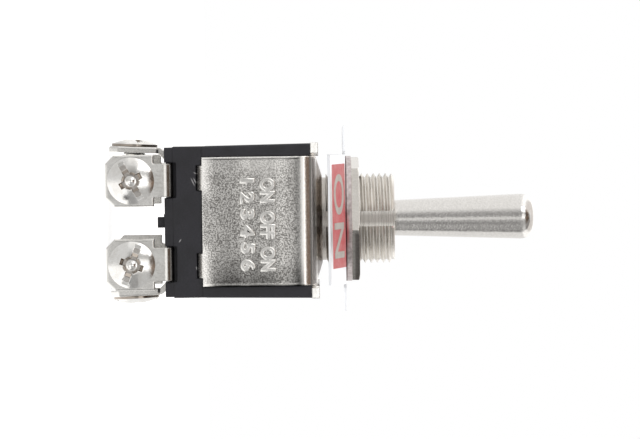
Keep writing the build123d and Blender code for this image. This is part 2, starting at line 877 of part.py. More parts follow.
def build_all():
    """Makes every piece of the switch."""
    os.makedirs("parts", exist_ok=True)
    write_part("mounting_frame", make_frame())
    write_part("bushing", make_bushing())
    write_part("lever", make_lever())
    write_part("lever_pin", make_lever_pin())
    write_part("housing", make_housing())
    write_part("base", make_base())
    write_part("actuator", make_actuator())
    write_part("indicator_plate", make_indicator_plate())
    write_part("lock_washer", make_lock_washer())
    write_part("hex_nut", make_nut())
    for side_name, side in SIDES.items():
        write_part(f"plunger_{side_name}", make_plunger(side))
        write_part(f"spring_{side_name}", make_spring(side))
        write_part(f"rocker_{side_name}", make_rocker(side))
        write_part(f"cradle_{side_name}", make_cradle(side))
        write_part(f"terminal_common_{side_name}", make_common_terminal(side))
        for end_name, end in ENDS.items():
            place = f"{end_name}_{side_name}"
            write_part(f"terminal_{place}", make_end_terminal(side, end))
            write_part(f"fixed_contact_{place}", make_fixed_contact(side, end))
            write_part(f"moving_contact_{place}", make_moving_contact(side, end))
    for place in slot_angles:
        write_part(f"screw_{place}", make_screw(place))


build_all()
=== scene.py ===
import json
from math import cos, hypot, pi, radians, sin, sqrt

import bmesh
import bpy
from mathutils import Matrix, Vector


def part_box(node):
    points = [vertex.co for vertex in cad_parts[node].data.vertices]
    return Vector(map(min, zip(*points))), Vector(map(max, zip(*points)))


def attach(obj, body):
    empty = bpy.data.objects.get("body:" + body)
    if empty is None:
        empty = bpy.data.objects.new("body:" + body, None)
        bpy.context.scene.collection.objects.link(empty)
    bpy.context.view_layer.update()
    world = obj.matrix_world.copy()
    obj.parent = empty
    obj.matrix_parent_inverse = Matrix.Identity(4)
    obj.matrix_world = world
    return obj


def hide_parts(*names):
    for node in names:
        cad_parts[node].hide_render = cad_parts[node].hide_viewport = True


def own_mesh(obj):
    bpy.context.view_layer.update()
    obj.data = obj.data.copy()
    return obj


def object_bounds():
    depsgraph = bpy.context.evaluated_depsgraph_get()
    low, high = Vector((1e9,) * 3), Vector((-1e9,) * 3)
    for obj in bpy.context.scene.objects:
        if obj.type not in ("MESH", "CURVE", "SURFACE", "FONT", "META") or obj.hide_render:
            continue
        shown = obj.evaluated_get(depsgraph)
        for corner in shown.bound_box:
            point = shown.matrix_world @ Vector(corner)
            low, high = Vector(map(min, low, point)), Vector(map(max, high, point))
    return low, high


# Panel-mount toggle switch with screw terminals, dressed over its solid model.
# Metres, in the model's frame: +Z up the lever, X across the poles, Y along the throw.

MM = 0.001

# Points nearer than these count as one: in cuts, and where turns of a thread are joined
CLOSE = 0.0001 * MM
WELD = 0.001 * MM

BLACK = (0.0, 0.0, 0.0, 1.0)
WHITE = (1.0, 1.0, 1.0, 1.0)

# Camera
CAMERA_DISTANCE = 0.720
CAMERA_LENS = 304.8
CAMERA_SWING = radians(0.8)
CAMERA_ROLL = radians(0.75)
CAMERA_HEIGHT = 27.8 * MM
CAMERA_ASIDE = 0.11 * MM

# Bushing. A turn of its rib is given in shares of the pitch and of the thread's depth.
THREAD_PITCH = 0.794 * MM
THREAD_CREST = 5.95 * MM
THREAD_ROOT = 5.47 * MM
THREAD_CHAMFER = 0.4 * MM
THREAD_RIB = ((0.1, 0.0), (0.42, 0.88), (0.46, 1.0), (0.56, 1.0), (0.6, 0.88), (0.92, 0.0))
THREAD_SPARE = 3
THREAD_SMOOTH = radians(25)
TURN_STEPS = 144
KEYWAY_HALF = 1.0 * MM
KEYWAY_WALL = 0.02 * MM
KEYWAY_DEPTH = 5.4 * MM
KEYWAY_TINT = 0.1 * MM
NECK_RADIUS = 5.48 * MM
NECK_RISE = 0.5 * MM
FLANGE_HEIGHT = 0.85 * MM
SEAT_RADIUS = 3.46 * MM
SEAT_MOUTH_RADIUS = 2.57 * MM
SEAT_MOUTH_DROP = 4.38 * MM
MOUTH_RADIUS = 4.0 * MM

# Terminal screws, with the turn of each slot
HEAD_RADIUS = 3.05 * MM
HEAD_HEIGHT = 1.05 * MM
HEAD_RIM = 0.35 * MM
HEAD_EDGE = 0.06 * MM
HEAD_SMOOTH = radians(30)
LIP_ANGLE = radians(35)
LEVEL = 0.9
HEAD_STEPS = 96
HEAD_RINGS = 16
SHANK_CREST = 1.5 * MM
SHANK_ROOT = 1.2 * MM
SHANK_LENGTH = 4.2 * MM
SHANK_PITCH = 0.5 * MM
SLOT_LENGTH = 5.5 * MM
SLOT_WIDTH = 0.85 * MM
SLOT_DEPTH = 0.45 * MM
CROSS_SPAN = 3.1 * MM
CROSS_WIDTH = 0.85 * MM
CROSS_DEPTH = 0.78 * MM
PIT_RADIUS = 1.05 * MM
PIP_RADIUS = 0.72 * MM
PIP_HEIGHT = 0.22 * MM
CROSS_DRAW = 0.74
# Painted brown shade in the recess: on its deep walls, on its arms' floors and on the slot's floor
RECESS_SHADE = 0.8
ARM_SHADE = 0.5
SLOT_SHADE = 0.38
SCREW_LIFT = 3.3 * MM
COMMON_LEAN = radians(2.5)
SLOT_TURNS = {
    "front_left": radians(-119),
    "front_right": radians(-70),
    "back_left": radians(25),
    "back_right": radians(-35),
    "common_left": radians(70),
    "common_right": radians(15),
}

# Pressed frame: painted bands of light and shade across its legs, as height, reach and change of
# tone, and painted highlight and shade lines along their edges, as place across, reach and change
# of tone
LEG_SHADING_BANDS = (
    (12.45 * MM, 0.3 * MM, 0.5),
    (18.1 * MM, 1.3 * MM, 0.14),
    (22.9 * MM, 1.5 * MM, 0.20),
    (24.95 * MM, 0.75 * MM, -0.25),
    (15.6 * MM, 1.8 * MM, -0.06),
)
LEG_EDGE_SHADING = (
    (-8.38 * MM, 0.22 * MM, 1.0),
    (-8.1 * MM, 0.13 * MM, -0.5),
    (8.12 * MM, 0.18 * MM, 0.25),
    (8.4 * MM, 0.13 * MM, -0.3),
)

# Pressed frame: a worn patch near the left edge, with smoother grain and a painted highlight, and a
# patch of painted shade at the right, as pairs of height and reach, and of the places across where
# they start and are full
WORN_LIT_BAND = (20.3 * MM, 4.0 * MM)
WORN_LIT_SPAN = (-5.0 * MM, -7.4 * MM)
SHADED_PATCH_BAND = (17.8 * MM, 5.2 * MM)
SHADED_PATCH_SPAN = (-1.0 * MM, 7.0 * MM)

# Pressed frame: where painted shade and highlights fall on its legs, top and boss, where the legs
# bend and fall away, and where the top starts
SHADE_SPAN = (3.5 * MM, 9.0 * MM)
GLOW_SPAN = (4.0 * MM, 8.0 * MM)
GLOW_REACH = 1.9 * MM
SMOOTH_SPAN = (-9.0 * MM, -5.0 * MM)
RIM_SPAN = (7.95 * MM, 8.15 * MM)
TAB_SPAN = (2.0 * MM, 4.5 * MM)
FRAME_STEP = 0.1 * MM
BEND_START = 0.8 * MM
LEG_BEND = 25.4 * MM
LEG_END = 12.4 * MM
END_EDGE = 0.3 * MM
LEG_HALF = 8.45 * MM
END_REACH = 1.7 * MM
END_DROP = 0.24 * MM
GRAIN_DEPTH = 0.028 * MM
LEG_WAVE = 0.03 * MM
EAR_WAVE = 0.3 * MM
EAR_LEAN = 0.1
EAR_CREASE = 0.12 * MM
EAR_END = 15.8 * MM
EAR_END_REACH = 0.5 * MM
TOP_FOOT = 25.5 * MM
TOP_STEP = 0.3 * MM
TOP_SHADE_LINE = 26.63 * MM
SHADE_LINE_REACH = 0.35 * MM
BOSS_FOOT = 27.35 * MM
BOSS_SPAN = (2.0 * MM, 6.0 * MM)

# Lock washer: a red tint low on one side, as place across, reach and heights above its foot; then
# heights above its foot of a painted shadow
RED_MIDDLE = 1.6 * MM
RED_REACH = 3.6 * MM
RED_RISE = (0.2 * MM, 0.65 * MM)
WASHER_SHADOW_RISE = (0.08 * MM, 0.26 * MM)

# Nut: painted shade beyond the middle, from a little above its foot to a little below its top
NUT_SHADE_SPAN = (1.4 * MM, 2.2 * MM)
NUT_SHADE_FOOT = 0.2 * MM
NUT_SHADE_TOP = 0.4 * MM

# Terminals: painted shade where they pass into the case
NECK_ROOT = 8.85 * MM
NECK_REACH = 1.5 * MM

# Scuffs on the case: place across and up, lean, and half their length
SCUFF_WIDTH = 0.11 * MM
SCUFF_DEPTH = -10.0 * MM
CASE_SCUFFS = (
    (-5.2 * MM, 11.35 * MM, radians(25), 0.75 * MM),
    (-5.3 * MM, 11.65 * MM, radians(28), 0.65 * MM),
    (-6.3 * MM, 11.75 * MM, radians(60), 0.45 * MM),
    (6.0 * MM, 11.7 * MM, radians(10), 0.3 * MM),
    (2.4 * MM, 9.6 * MM, radians(-35), 0.35 * MM),
)

# Rounded look of the edges
EDGE_SAMPLES = 6
SHEET_EDGE = 0.2 * MM
FRAME_EDGE = 0.2 * MM
NUT_EDGE = 0.12 * MM
CASE_EDGE = 0.25 * MM
PLATE_EDGE = 0.1 * MM

# Raised lettering on the frame's legs
LETTER_HEIGHT = 2.15 * MM
LETTER_BEVEL = 0.078
LETTER_SWELL = 0.01
ROW_WIDTH = 12.2 * MM
ROW_ASIDE = 0.45 * MM
ROW_HEIGHTS = {"upper": 21.02 * MM, "lower": 18.45 * MM}
ROW_WORDS = {"upper": "ON  OFF  ON", "lower": "1 2 3 4 5 6"}

# Print on the indicator plate's tabs
TAB_BEND_AT = 8.4 * MM
TAB_SLOPE = radians(14.8)
INK_THICKNESS = 0.02 * MM
FIELD_WIDTH = 13.6 * MM
FIELD_START = 0.2 * MM
FIELD_LENGTH = 6.6 * MM
FIELD_ASIDE = -0.48 * MM
FIELD_ASKEW = radians(1.0)
PRINT_WIDTH = 11.0 * MM
PRINT_HEIGHT = 5.0 * MM
PRINT_SPACING = 1.12
PRINT_SWELL = 0.015
PRINT_WORD = "ON"

# Floor and key lamp
FLOOR_RADIUS = 0.6
FLOOR_STEPS = 96
FLOOR_GLOW = 0.75
KEY_PLACE = (-0.35, -0.45, 0.30)
KEY_SIZE = 0.30
KEY_POWER = 0.35

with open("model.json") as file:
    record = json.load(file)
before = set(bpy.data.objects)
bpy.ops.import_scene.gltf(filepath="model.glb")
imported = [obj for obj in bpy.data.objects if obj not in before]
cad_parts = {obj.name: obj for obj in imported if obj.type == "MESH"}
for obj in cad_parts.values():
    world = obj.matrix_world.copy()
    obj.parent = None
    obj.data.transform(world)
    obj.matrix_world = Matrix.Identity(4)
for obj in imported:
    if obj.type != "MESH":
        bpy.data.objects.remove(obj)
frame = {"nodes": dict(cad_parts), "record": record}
cad_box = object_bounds()
nodes = frame["nodes"]


# Shared node helpers


class Shader:
    """A material's or group's node tree, with short calls to add and join nodes."""

    def __init__(self, tree):
        self.tree = tree

    def add(self, kind, **inputs):
        node = self.tree.nodes.new(kind)
        for name, value in inputs.items():
            self.feed(node.inputs[name.replace("_", " ")], value)
        return node

    def feed(self, socket, value):
        if isinstance(value, bpy.types.NodeSocket):
            self.tree.links.new(value, socket)
        else:
            socket.default_value = value

    def math(self, operation, *values, clamp=False):
        node = self.tree.nodes.new("ShaderNodeMath")
        node.operation = operation
        node.use_clamp = clamp
        for socket, value in zip(node.inputs, values):
            self.feed(socket, value)
        return node.outputs[0]

    def times(self, value, *others):
        """Product of two or more values."""
        for other in others:
            value = self.math("MULTIPLY", value, other)
        return value

    def plus(self, value, *others):
        """Sum of two or more values."""
        for other in others:
            value = self.math("ADD", value, other)
        return value

    def less(self, value, taken):
        return self.math("SUBTRACT", value, taken)

    def rest(self, value):
        """What a value leaves of 1."""
        return self.math("SUBTRACT", 1.0, value)

    def larger(self, first, second):
        return self.math("MAXIMUM", first, second)

    def size(self, value):
        return self.math("ABSOLUTE", value)

    def object_place(self):
        """Place on the object, which is the place in the model's frame."""
        return self.add("ShaderNodeTexCoord").outputs["Object"]

    def parts(self, vector):
        """A vector's X, Y and Z."""
        return self.add("ShaderNodeSeparateXYZ", Vector=vector).outputs

    def spread(self, value, low, high, out_low=0.0, out_high=1.0):
        """Smooth step of a value from one range to another."""
        node = self.tree.nodes.new("ShaderNodeMapRange")
        node.interpolation_type = "SMOOTHSTEP"
        for socket, item in zip(node.inputs, (value, low, high, out_low, out_high)):
            self.feed(socket, item)
        return node.outputs[0]

    def hump(self, value, middle, reach, height=1.0):
        """Smooth hump of a given height about a middle value, 0 beyond its reach."""
        off = self.size(self.less(value, middle))
        return self.spread(off, 0.0, reach, height, 0.0)

    def blend(self, amount, first, second):
        """Mix of two colours."""
        node = self.tree.nodes.new("ShaderNodeMix")
        node.data_type = "RGBA"
        self.feed(node.inputs[0], amount)
        self.feed(node.inputs[6], first)
        self.feed(node.inputs[7], second)
        return node.outputs[2]

    def choose(self, amount, first, second):
        """Mix of the shaders of two nodes."""
        node = self.tree.nodes.new("ShaderNodeMixShader")
        for socket, item in zip(node.inputs, (amount, first.outputs[0], second.outputs[0])):
            self.feed(socket, item)
        return node.outputs[0]


def new_group(name, inputs, outputs):
    """A shader node group with named float or colour sockets. Returns its shader and its ends."""
    tree = bpy.data.node_groups.new(name, "ShaderNodeTree")
    for socket, kind in inputs.items():
        tree.interface.new_socket(socket, in_out="INPUT", socket_type=kind)
    for socket, kind in outputs.items():
        tree.interface.new_socket(socket, in_out="OUTPUT", socket_type=kind)
    group = Shader(tree)
    return group, group.add("NodeGroupInput").outputs, group.add("NodeGroupOutput").inputs


def use_group(shader, name, **inputs):
    """Places a node group in a material and sets its inputs."""
    node = shader.tree.nodes.new("ShaderNodeGroup")
    node.node_tree = bpy.data.node_groups[name]
    for socket, value in inputs.items():
        shader.feed(node.inputs[socket.replace("_", " ")], value)
    return node.outputs


def new_material(name, base_colour, roughness, metallic=0.0):
    """A material with one Principled shader. Returns the material, its shader and the node."""
    material = bpy.data.materials.new(name)
    material.use_nodes = True
    surface = material.node_tree.nodes["Principled BSDF"]
    surface.inputs["Base Color"].default_value = (*base_colour, 1.0)
    surface.inputs["Roughness"].default_value = roughness
    surface.inputs["Metallic"].default_value = metallic
    return material, Shader(material.node_tree), surface


# Effects that several finishes share


def make_mottle_group():
    """Blotchy plating: a slow cloud and a fine grain, as a mask and a height."""
    group, given, result = new_group(
        "mottle",
        {"Cloud": "NodeSocketFloat", "Grain": "NodeSocketFloat", "Mix": "NodeSocketFloat"},
        {"Mask": "NodeSocketFloat", "Height": "NodeSocketFloat"},
    )
    place = group.object_place()
    cloud = group.add("ShaderNodeTexNoise", Vector=place, Scale=given["Cloud"], Detail=3.0)
    grain = group.add("ShaderNodeTexNoise", Vector=place, Scale=given["Grain"], Detail=4.0)
    cloudy = group.spread(cloud.outputs["Fac"], 0.35, 0.65)
    grainy = group.spread(grain.outputs["Fac"], 0.3, 0.7)
    clouds = group.times(cloudy, group.rest(given["Mix"]))
    grains = group.times(grainy, given["Mix"])
    group.feed(result["Mask"], group.plus(clouds, grains))
    group.feed(result["Height"], grainy)


def make_brush_group():
    """Fine brushed lines: noise drawn out along one direction by the Stretch vector."""
    group, given, result = new_group(
        "brushed_lines",
        {"Stretch": "NodeSocketVector", "Scale": "NodeSocketFloat"},
        {"Mask": "NodeSocketFloat", "Height": "NodeSocketFloat"},
    )
    place = group.object_place()
    drawn = group.add("ShaderNodeVectorMath")
    drawn.operation = "MULTIPLY"
    group.feed(drawn.inputs[0], place)
    group.feed(drawn.inputs[1], given["Stretch"])
    lines = group.add(
        "ShaderNodeTexNoise", Vector=drawn.outputs[0], Scale=given["Scale"], Detail=5.0)
    group.feed(result["Mask"], group.spread(lines.outputs["Fac"], 0.35, 0.65))
    group.feed(result["Height"], lines.outputs["Fac"])


def make_turned_group():
    """Marks of the lathe: rings about the Z axis, broken up along each ring."""
    group, given, result = new_group(
        "turned_rings",
        {"Rings": "NodeSocketFloat", "Breaks": "NodeSocketFloat"},
        {"Mask": "NodeSocketFloat", "Height": "NodeSocketFloat"},
    )
    place = group.object_place()
    parts = group.parts(place)
    along = group.times(parts["Z"], given["Rings"])
    across = [group.times(parts[axis], given["Breaks"]) for axis in "XY"]
    ring_place = group.add("ShaderNodeCombineXYZ", X=across[0], Y=across[1], Z=along).outputs[0]
    rings = group.add("ShaderNodeTexNoise", Vector=ring_place, Scale=1.0, Detail=3.0)
    group.feed(result["Mask"], group.spread(rings.outputs["Fac"], 0.35, 0.65))
    group.feed(result["Height"], rings.outputs["Fac"])


def roughen(shader, surface, mask, low, high):
    """Roughness that follows a mask."""
    shader.feed(surface.inputs["Roughness"], shader.spread(mask, 0.0, 1.0, low, high))


def tint(shader, surface, mask, first, second):
    """Colour that follows a mask."""
    shader.feed(surface.inputs["Base Color"], shader.blend(mask, (*first, 1.0), (*second, 1.0)))


def dent(shader, surface, height, distance, edge=0.0):
    """Bump from a height, in metres, over edges that look rounded by a small radius."""
    bump = shader.add("ShaderNodeBump", Height=height, Distance=distance)
    if edge:
        rounded = shader.add("ShaderNodeBevel", Radius=edge)
        rounded.samples = EDGE_SAMPLES
        shader.feed(bump.inputs["Normal"], rounded.outputs["Normal"])
    shader.feed(surface.inputs["Normal"], bump.outputs["Normal"])


# Finishes


def nickel_sheet():
    """Plated pressed steel of the frame: leathery grain, with painted light and shade over its
    legs, top and boss.
    """
    material, shader, surface = new_material("nickel_sheet", (0.66, 0.64, 0.60), 0.2, 1.0)
    mottle = use_group(shader, "mottle", Cloud=420.0, Grain=5600.0, Mix=0.85)
    place = shader.object_place()
    parts = shader.parts(place)
    across, along = parts["X"], parts["Z"]
    beside = shader.size(across)

    # Where on the frame
    near_tab = shader.spread(beside, *TAB_SPAN, 0.25, 1.0)
    flat_face = shader.spread(along, LEG_BEND - BEND_START, LEG_BEND, 1.0, 0.1)
    ear = shader.spread(beside, LEG_HALF, LEG_HALF + FRAME_STEP)
    not_ear = shader.rest(ear)
    on_top = shader.times(shader.spread(along, TOP_FOOT, TOP_FOOT + TOP_STEP), not_ear)
    on_boss = shader.times(shader.spread(along, BOSS_FOOT, BOSS_FOOT + FRAME_STEP), not_ear)
    # Worn patch: smoother grain, and a painted highlight in the legs' shade below
    worn = shader.times(shader.hump(along, *WORN_LIT_BAND), shader.spread(across, *WORN_LIT_SPAN))

    # Painted light and shade of the legs: painted shade towards +X and in a patch, painted
    # highlights near their ends, in bands and along their edges, bright ears and darker crimp tabs
    shade = shader.spread(across, *SHADE_SPAN, 0.66, 0.33)
    # Painted shade: a darker patch towards the right of the legs
    shaded_patch = shader.times(shader.hump(along, *SHADED_PATCH_BAND), shader.spread(across, *SHADED_PATCH_SPAN))
    shade = shader.less(shade, shader.times(shaded_patch, 0.16))
    # Painted highlight near the legs' ends by the tabs
    end_glow = shader.times(
        near_tab, shader.spread(across, *GLOW_SPAN, 0.36, 0.7),
        shader.hump(along, LEG_END, GLOW_REACH))
    shade = shader.plus(shade, end_glow)
    # Painted bands of light and shade across the legs
    for middle, reach, change in LEG_SHADING_BANDS:
        shade = shader.plus(shade, shader.hump(along, middle, reach, change))
    # Painted highlight on the worn patch
    shade = shader.plus(shade, shader.times(worn, 0.15))
    # Painted highlight and shade lines along the legs' edges
    for middle, reach, change in LEG_EDGE_SHADING:
        line = shader.times(shader.hump(across, middle, reach, change), flat_face)
        shade = shader.plus(shade, line)
    # Painted highlight: the ears kept near full tone
    shade = shader.larger(shade, shader.times(ear, 0.93))
    # Painted shade on the crimp tabs below the legs' ends
    shade = shader.times(shade, shader.spread(along, LEG_END - END_EDGE, LEG_END, 0.4, 1.0))

    # Painted light and shade of the top: full tone on the top, a painted dark line where it bends,
    # and painted shade on the boss's far side
    shade = shader.larger(shade, on_top)
    # Painted shade: a dark line where the top bends over
    shade_line = shader.times(shader.hump(along, TOP_SHADE_LINE, SHADE_LINE_REACH, 0.75), not_ear)
    # Painted shade on the boss's far side
    far_side = shader.times(shader.spread(across, *BOSS_SPAN, 0.0, 0.5), on_boss)
    shade = shader.times(shade, shader.rest(shader.larger(shade_line, far_side)))

    # Grain: full on the legs' flat faces, faint at their ends, edges and worn patch
    smooth_end = shader.times(
        shader.spread(along, LEG_END, LEG_END + END_REACH, 1.0, 0.0), near_tab)
    even = shader.times(
        flat_face,
        shader.spread(beside, LEG_HALF, LEG_HALF + FRAME_STEP, 1.0, 0.3),
        shader.rest(shader.times(smooth_end, 0.8)),
        shader.spread(across, *SMOOTH_SPAN, 0.45, 1.0),
        shader.spread(beside, *RIM_SPAN, 1.0, 0.4),
        shader.rest(shader.times(worn, 0.5)))
    grainy = shader.times(shader.spread(mottle["Mask"], 0.1, 0.9), even)
    grainy = shader.plus(grainy, shader.rest(even))

    tone = shader.blend(grainy, (0.28, 0.27, 0.255, 1.0), (1.0, 0.985, 0.955, 1.0))
    # Painted shade and reflection: the top a little warmer, the boss dark brown
    tone = shader.blend(on_top, tone, (0.93, 0.89, 0.85, 1.0))
    tone = shader.blend(on_boss, tone, (0.44, 0.37, 0.315, 1.0))
    shader.feed(surface.inputs["Base Color"], shader.blend(shade, BLACK, tone))
    roughen(shader, surface, mottle["Mask"], 0.16, 0.26)

    # Height: grain and waves, legs that fall away at their ends, ears that lean and crease
    grain = shader.times(mottle["Height"], GRAIN_DEPTH, even)
    waves = shader.add("ShaderNodeTexNoise", Vector=place, Scale=330.0, Detail=1.0)
    crumple = shader.spread(beside, LEG_HALF, LEG_HALF + FRAME_STEP, LEG_WAVE, EAR_WAVE)
    wave = shader.times(waves.outputs["Fac"], shader.times(crumple, flat_face))
    end_fall = shader.spread(along, LEG_END, LEG_END + END_REACH, -END_DROP, 0.0)
    lean = shader.times(shader.less(along, LEG_BEND), -EAR_LEAN, ear)
    creases = shader.add("ShaderNodeTexNoise", Vector=place, Scale=1300.0, Detail=1.0)
    at_end = shader.spread(shader.size(parts["Y"]), EAR_END - EAR_END_REACH, EAR_END)
    crease = shader.times(creases.outputs["Fac"], EAR_CREASE, at_end, ear)
    fall = shader.plus(shader.times(end_fall, near_tab), shader.plus(lean, crease))
    dent(shader, surface, shader.plus(grain, wave, fall), 1.0, FRAME_EDGE)
    return material


def satin_sheet():
    """Smoother plating of the terminals, with painted shade where they pass into the case."""
    material, shader, surface = new_material("satin_sheet", (0.74, 0.73, 0.70), 0.2, 1.0)
    mottle = use_group(shader, "mottle", Cloud=500.0, Grain=3000.0, Mix=0.4)
    parts = shader.parts(shader.object_place())
    root_shade = shader.hump(parts["Z"], NECK_ROOT, NECK_REACH, 0.9)
    unshaded_unscuffed = shader.blend(mottle["Mask"], (0.72, 0.71, 0.685, 1.0), (0.79, 0.78, 0.76, 1.0))
    # Painted shade: near black at the terminals' roots by the case
    tone = shader.blend(root_shade, unshaded_unscuffed, (0.06, 0.055, 0.05, 1.0))
    shader.feed(surface.inputs["Base Color"], tone)
    roughen(shader, surface, mottle["Mask"], 0.16, 0.26)
    dent(shader, surface, mottle["Height"], 0.002 * MM, SHEET_EDGE)
    return material


def washer_steel():
    """Duller plating of the lock washer, tinted red low on one side, with a painted shadow along
    its foot.
    """
    material, shader, surface = new_material("washer_steel", (0.46, 0.42, 0.41), 0.35, 1.0)
    mottle = use_group(shader, "mottle", Cloud=700.0, Grain=2600.0, Mix=0.7)
    parts = shader.parts(shader.object_place())
    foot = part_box("lock_washer")[0].z
    # Painted shadow along the washer's foot, next to the plate's tab
    unshaded_unscuffed = shader.spread(parts["Z"], *(foot + rise for rise in WASHER_SHADOW_RISE))
    tone = shader.blend(mottle["Mask"], (0.40, 0.35, 0.345, 1.0), (0.66, 0.60, 0.595, 1.0))
    # A red tint low on one side of the washer
    reddened = shader.times(
        shader.hump(parts["X"], RED_MIDDLE, RED_REACH, 0.8),
        shader.spread(parts["Z"], *(foot + rise for rise in RED_RISE), 1.0, 0.0))
    tone = shader.blend(reddened, tone, (0.55, 0.08, 0.09, 1.0))
    # Painted shadow at the washer's foot
    tone = shader.blend(unshaded_unscuffed, (0.07, 0.025, 0.025, 1.0), tone)
    shader.feed(surface.inputs["Base Color"], tone)
    roughen(shader, surface, mottle["Mask"], 0.3, 0.4)
    dent(shader, surface, mottle["Height"], 0.01 * MM)
    return material


def nickel_turned():
    """Plated turned brass of the bushing, with painted shade in its keyway and a painted shadow
    below the plate.
    """
    material, shader, surface = new_material("nickel_turned", (0.70, 0.67, 0.63), 0.3, 1.0)
    rings = use_group(shader, "turned_rings", Rings=9000.0, Breaks=300.0)
    parts = shader.parts(shader.object_place())
    # Painted shade in the keyway
    keyway = shader.math(
        "MULTIPLY",
        shader.hump(parts["X"], 0.0, KEYWAY_HALF + KEYWAY_WALL, 1.6),
        shader.spread(parts["Y"], KEYWAY_TINT - KEYWAY_DEPTH, -KEYWAY_DEPTH),
        clamp=True)
    # Painted shadow on the thread below the indicator plate
    shade_below_plate = shader.spread(
        parts["Z"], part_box("indicator_plate")[1].z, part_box("indicator_plate")[0].z)
    painted_shade = shader.larger(shader.times(keyway, 0.5), shader.times(shade_below_plate, 0.45))
    unshaded_unscuffed = shader.blend(rings["Mask"], (0.63, 0.605, 0.57, 1.0), (0.80, 0.775, 0.735, 1.0))
    tone = shader.blend(painted_shade, unshaded_unscuffed, (0.22, 0.19, 0.165, 1.0))
    shader.feed(surface.inputs["Base Color"], tone)
    roughen(shader, surface, rings["Mask"], 0.25, 0.4)
    dent(shader, surface, rings["Height"], 0.004 * MM)
    return material


def nut_nickel():
    """Plated hexagon nut, smoother on its flats than the bushing's thread, with painted shade on
    one side.
    """
    material, shader, surface = new_material("nut_nickel", (0.70, 0.67, 0.63), 0.15, 1.0)
    mottle = use_group(shader, "mottle", Cloud=500.0, Grain=3600.0, Mix=0.6)
    parts = shader.parts(shader.object_place())
    low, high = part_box("hex_nut")
    # Painted shade on the nut's faces beyond the middle
    nut_shade = shader.times(
        shader.spread(parts["X"], *NUT_SHADE_SPAN),
        shader.spread(parts["Z"], low.z + NUT_SHADE_FOOT, high.z - NUT_SHADE_TOP, 0.0, 0.75))
    unshaded_unscuffed = shader.blend(mottle["Mask"], (0.59, 0.565, 0.53, 1.0), (0.655, 0.63, 0.595, 1.0))
    tone = shader.blend(nut_shade, unshaded_unscuffed, (0.13, 0.11, 0.10, 1.0))
    shader.feed(surface.inputs["Base Color"], tone)
    roughen(shader, surface, mottle["Mask"], 0.1, 0.17)
    dent(shader, surface, mottle["Height"], 0.003 * MM, NUT_EDGE)
    return material


def satin_nickel():
    """Satin plating of the lever, with a fine grain."""
    material, shader, surface = new_material("satin_nickel", (0.72, 0.71, 0.69), 0.28, 1.0)
    mottle = use_group(shader, "mottle", Cloud=900.0, Grain=3800.0, Mix=0.85)
    tint(shader, surface, mottle["Mask"], (0.665, 0.65, 0.63), (0.745, 0.73, 0.71))
    roughen(shader, surface, mottle["Mask"], 0.12, 0.18)
    dent(shader, surface, mottle["Height"], 0.0055 * MM)
    return material


def screw_nickel():
    """Bright plating of the terminal screws, with painted brown shade in the recess."""
    material, shader, surface = new_material("screw_nickel", (0.80, 0.79, 0.76), 0.12, 1.0)
    mottle = use_group(shader, "mottle", Cloud=900.0, Grain=4200.0, Mix=0.3)
    recess_shade = shader.add("ShaderNodeAttribute")
    recess_shade.attribute_name = "recess_shade"
    unshaded_unscuffed = shader.blend(mottle["Mask"], (0.76, 0.745, 0.72, 1.0), (0.88, 0.875, 0.86, 1.0))
    # Painted brown shade in the recess, from the face attribute
    tone = shader.blend(recess_shade.outputs["Fac"], unshaded_unscuffed, (0.26, 0.21, 0.165, 1.0))
    shader.feed(surface.inputs["Base Color"], tone)
    roughen(shader, surface, mottle["Mask"], 0.08, 0.16)
    dent(shader, surface, mottle["Height"], 0.002 * MM)
    return material


def indicator_sheet():
    """Pale brushed aluminium of the indicator plate."""
    material, shader, surface = new_material("indicator_sheet", (0.86, 0.88, 0.92), 0.35, 1.0)
    lines = use_group(shader, "brushed_lines", Stretch=(0.05, 1.0, 1.0), Scale=6000.0)
    tint(shader, surface, lines["Mask"], (0.88, 0.90, 0.94), (0.94, 0.955, 0.985))
    roughen(shader, surface, lines["Mask"], 0.28, 0.42)
    dent(shader, surface, lines["Height"], 0.003 * MM, PLATE_EDGE)
    return material


def black_moulding():
    """Black phenolic with a faint bloom and specks, scuffed beside the frame's crimp tabs."""
    material, shader, surface = new_material("black_moulding", (0.018, 0.018, 0.022), 0.5)
    mottle = use_group(shader, "mottle", Cloud=300.0, Grain=6500.0, Mix=0.35)
    parts = shader.parts(shader.object_place())
    unshaded_unscuffed = shader.blend(mottle["Mask"], (0.007, 0.007, 0.011, 1.0), (0.021, 0.021, 0.0285, 1.0))
    scuffed = 0.0
    for across, along, lean, reach in CASE_SCUFFS:
        out = shader.less(parts["X"], across)
        up = shader.less(parts["Z"], along)
        with_it = shader.plus(shader.times(out, cos(lean)), shader.times(up, sin(lean)))
        over_it = shader.less(shader.times(up, cos(lean)), shader.times(out, sin(lean)))
        stroke = shader.times(
            shader.hump(with_it, 0.0, reach), shader.hump(over_it, 0.0, SCUFF_WIDTH))
        scuffed = shader.plus(scuffed, stroke)
    scuffed = shader.times(scuffed, shader.spread(parts["Y"], 0.0, SCUFF_DEPTH))
    tone = shader.blend(scuffed, unshaded_unscuffed, (0.45, 0.45, 0.46, 1.0))
    shader.feed(surface.inputs["Base Color"], tone)
    roughen(shader, surface, mottle["Mask"], 0.42, 0.6)
    dent(shader, surface, mottle["Height"], 0.006 * MM, CASE_EDGE)
    return material


def pale_nylon():
    """Cream insulating moulding inside."""
    material, shader, surface = new_material("pale_nylon", (0.72, 0.68, 0.58), 0.5)
    mottle = use_group(shader, "mottle", Cloud=350.0, Grain=3000.0, Mix=0.3)
    tint(shader, surface, mottle["Mask"], (0.68, 0.64, 0.54), (0.76, 0.72, 0.62))
    return material


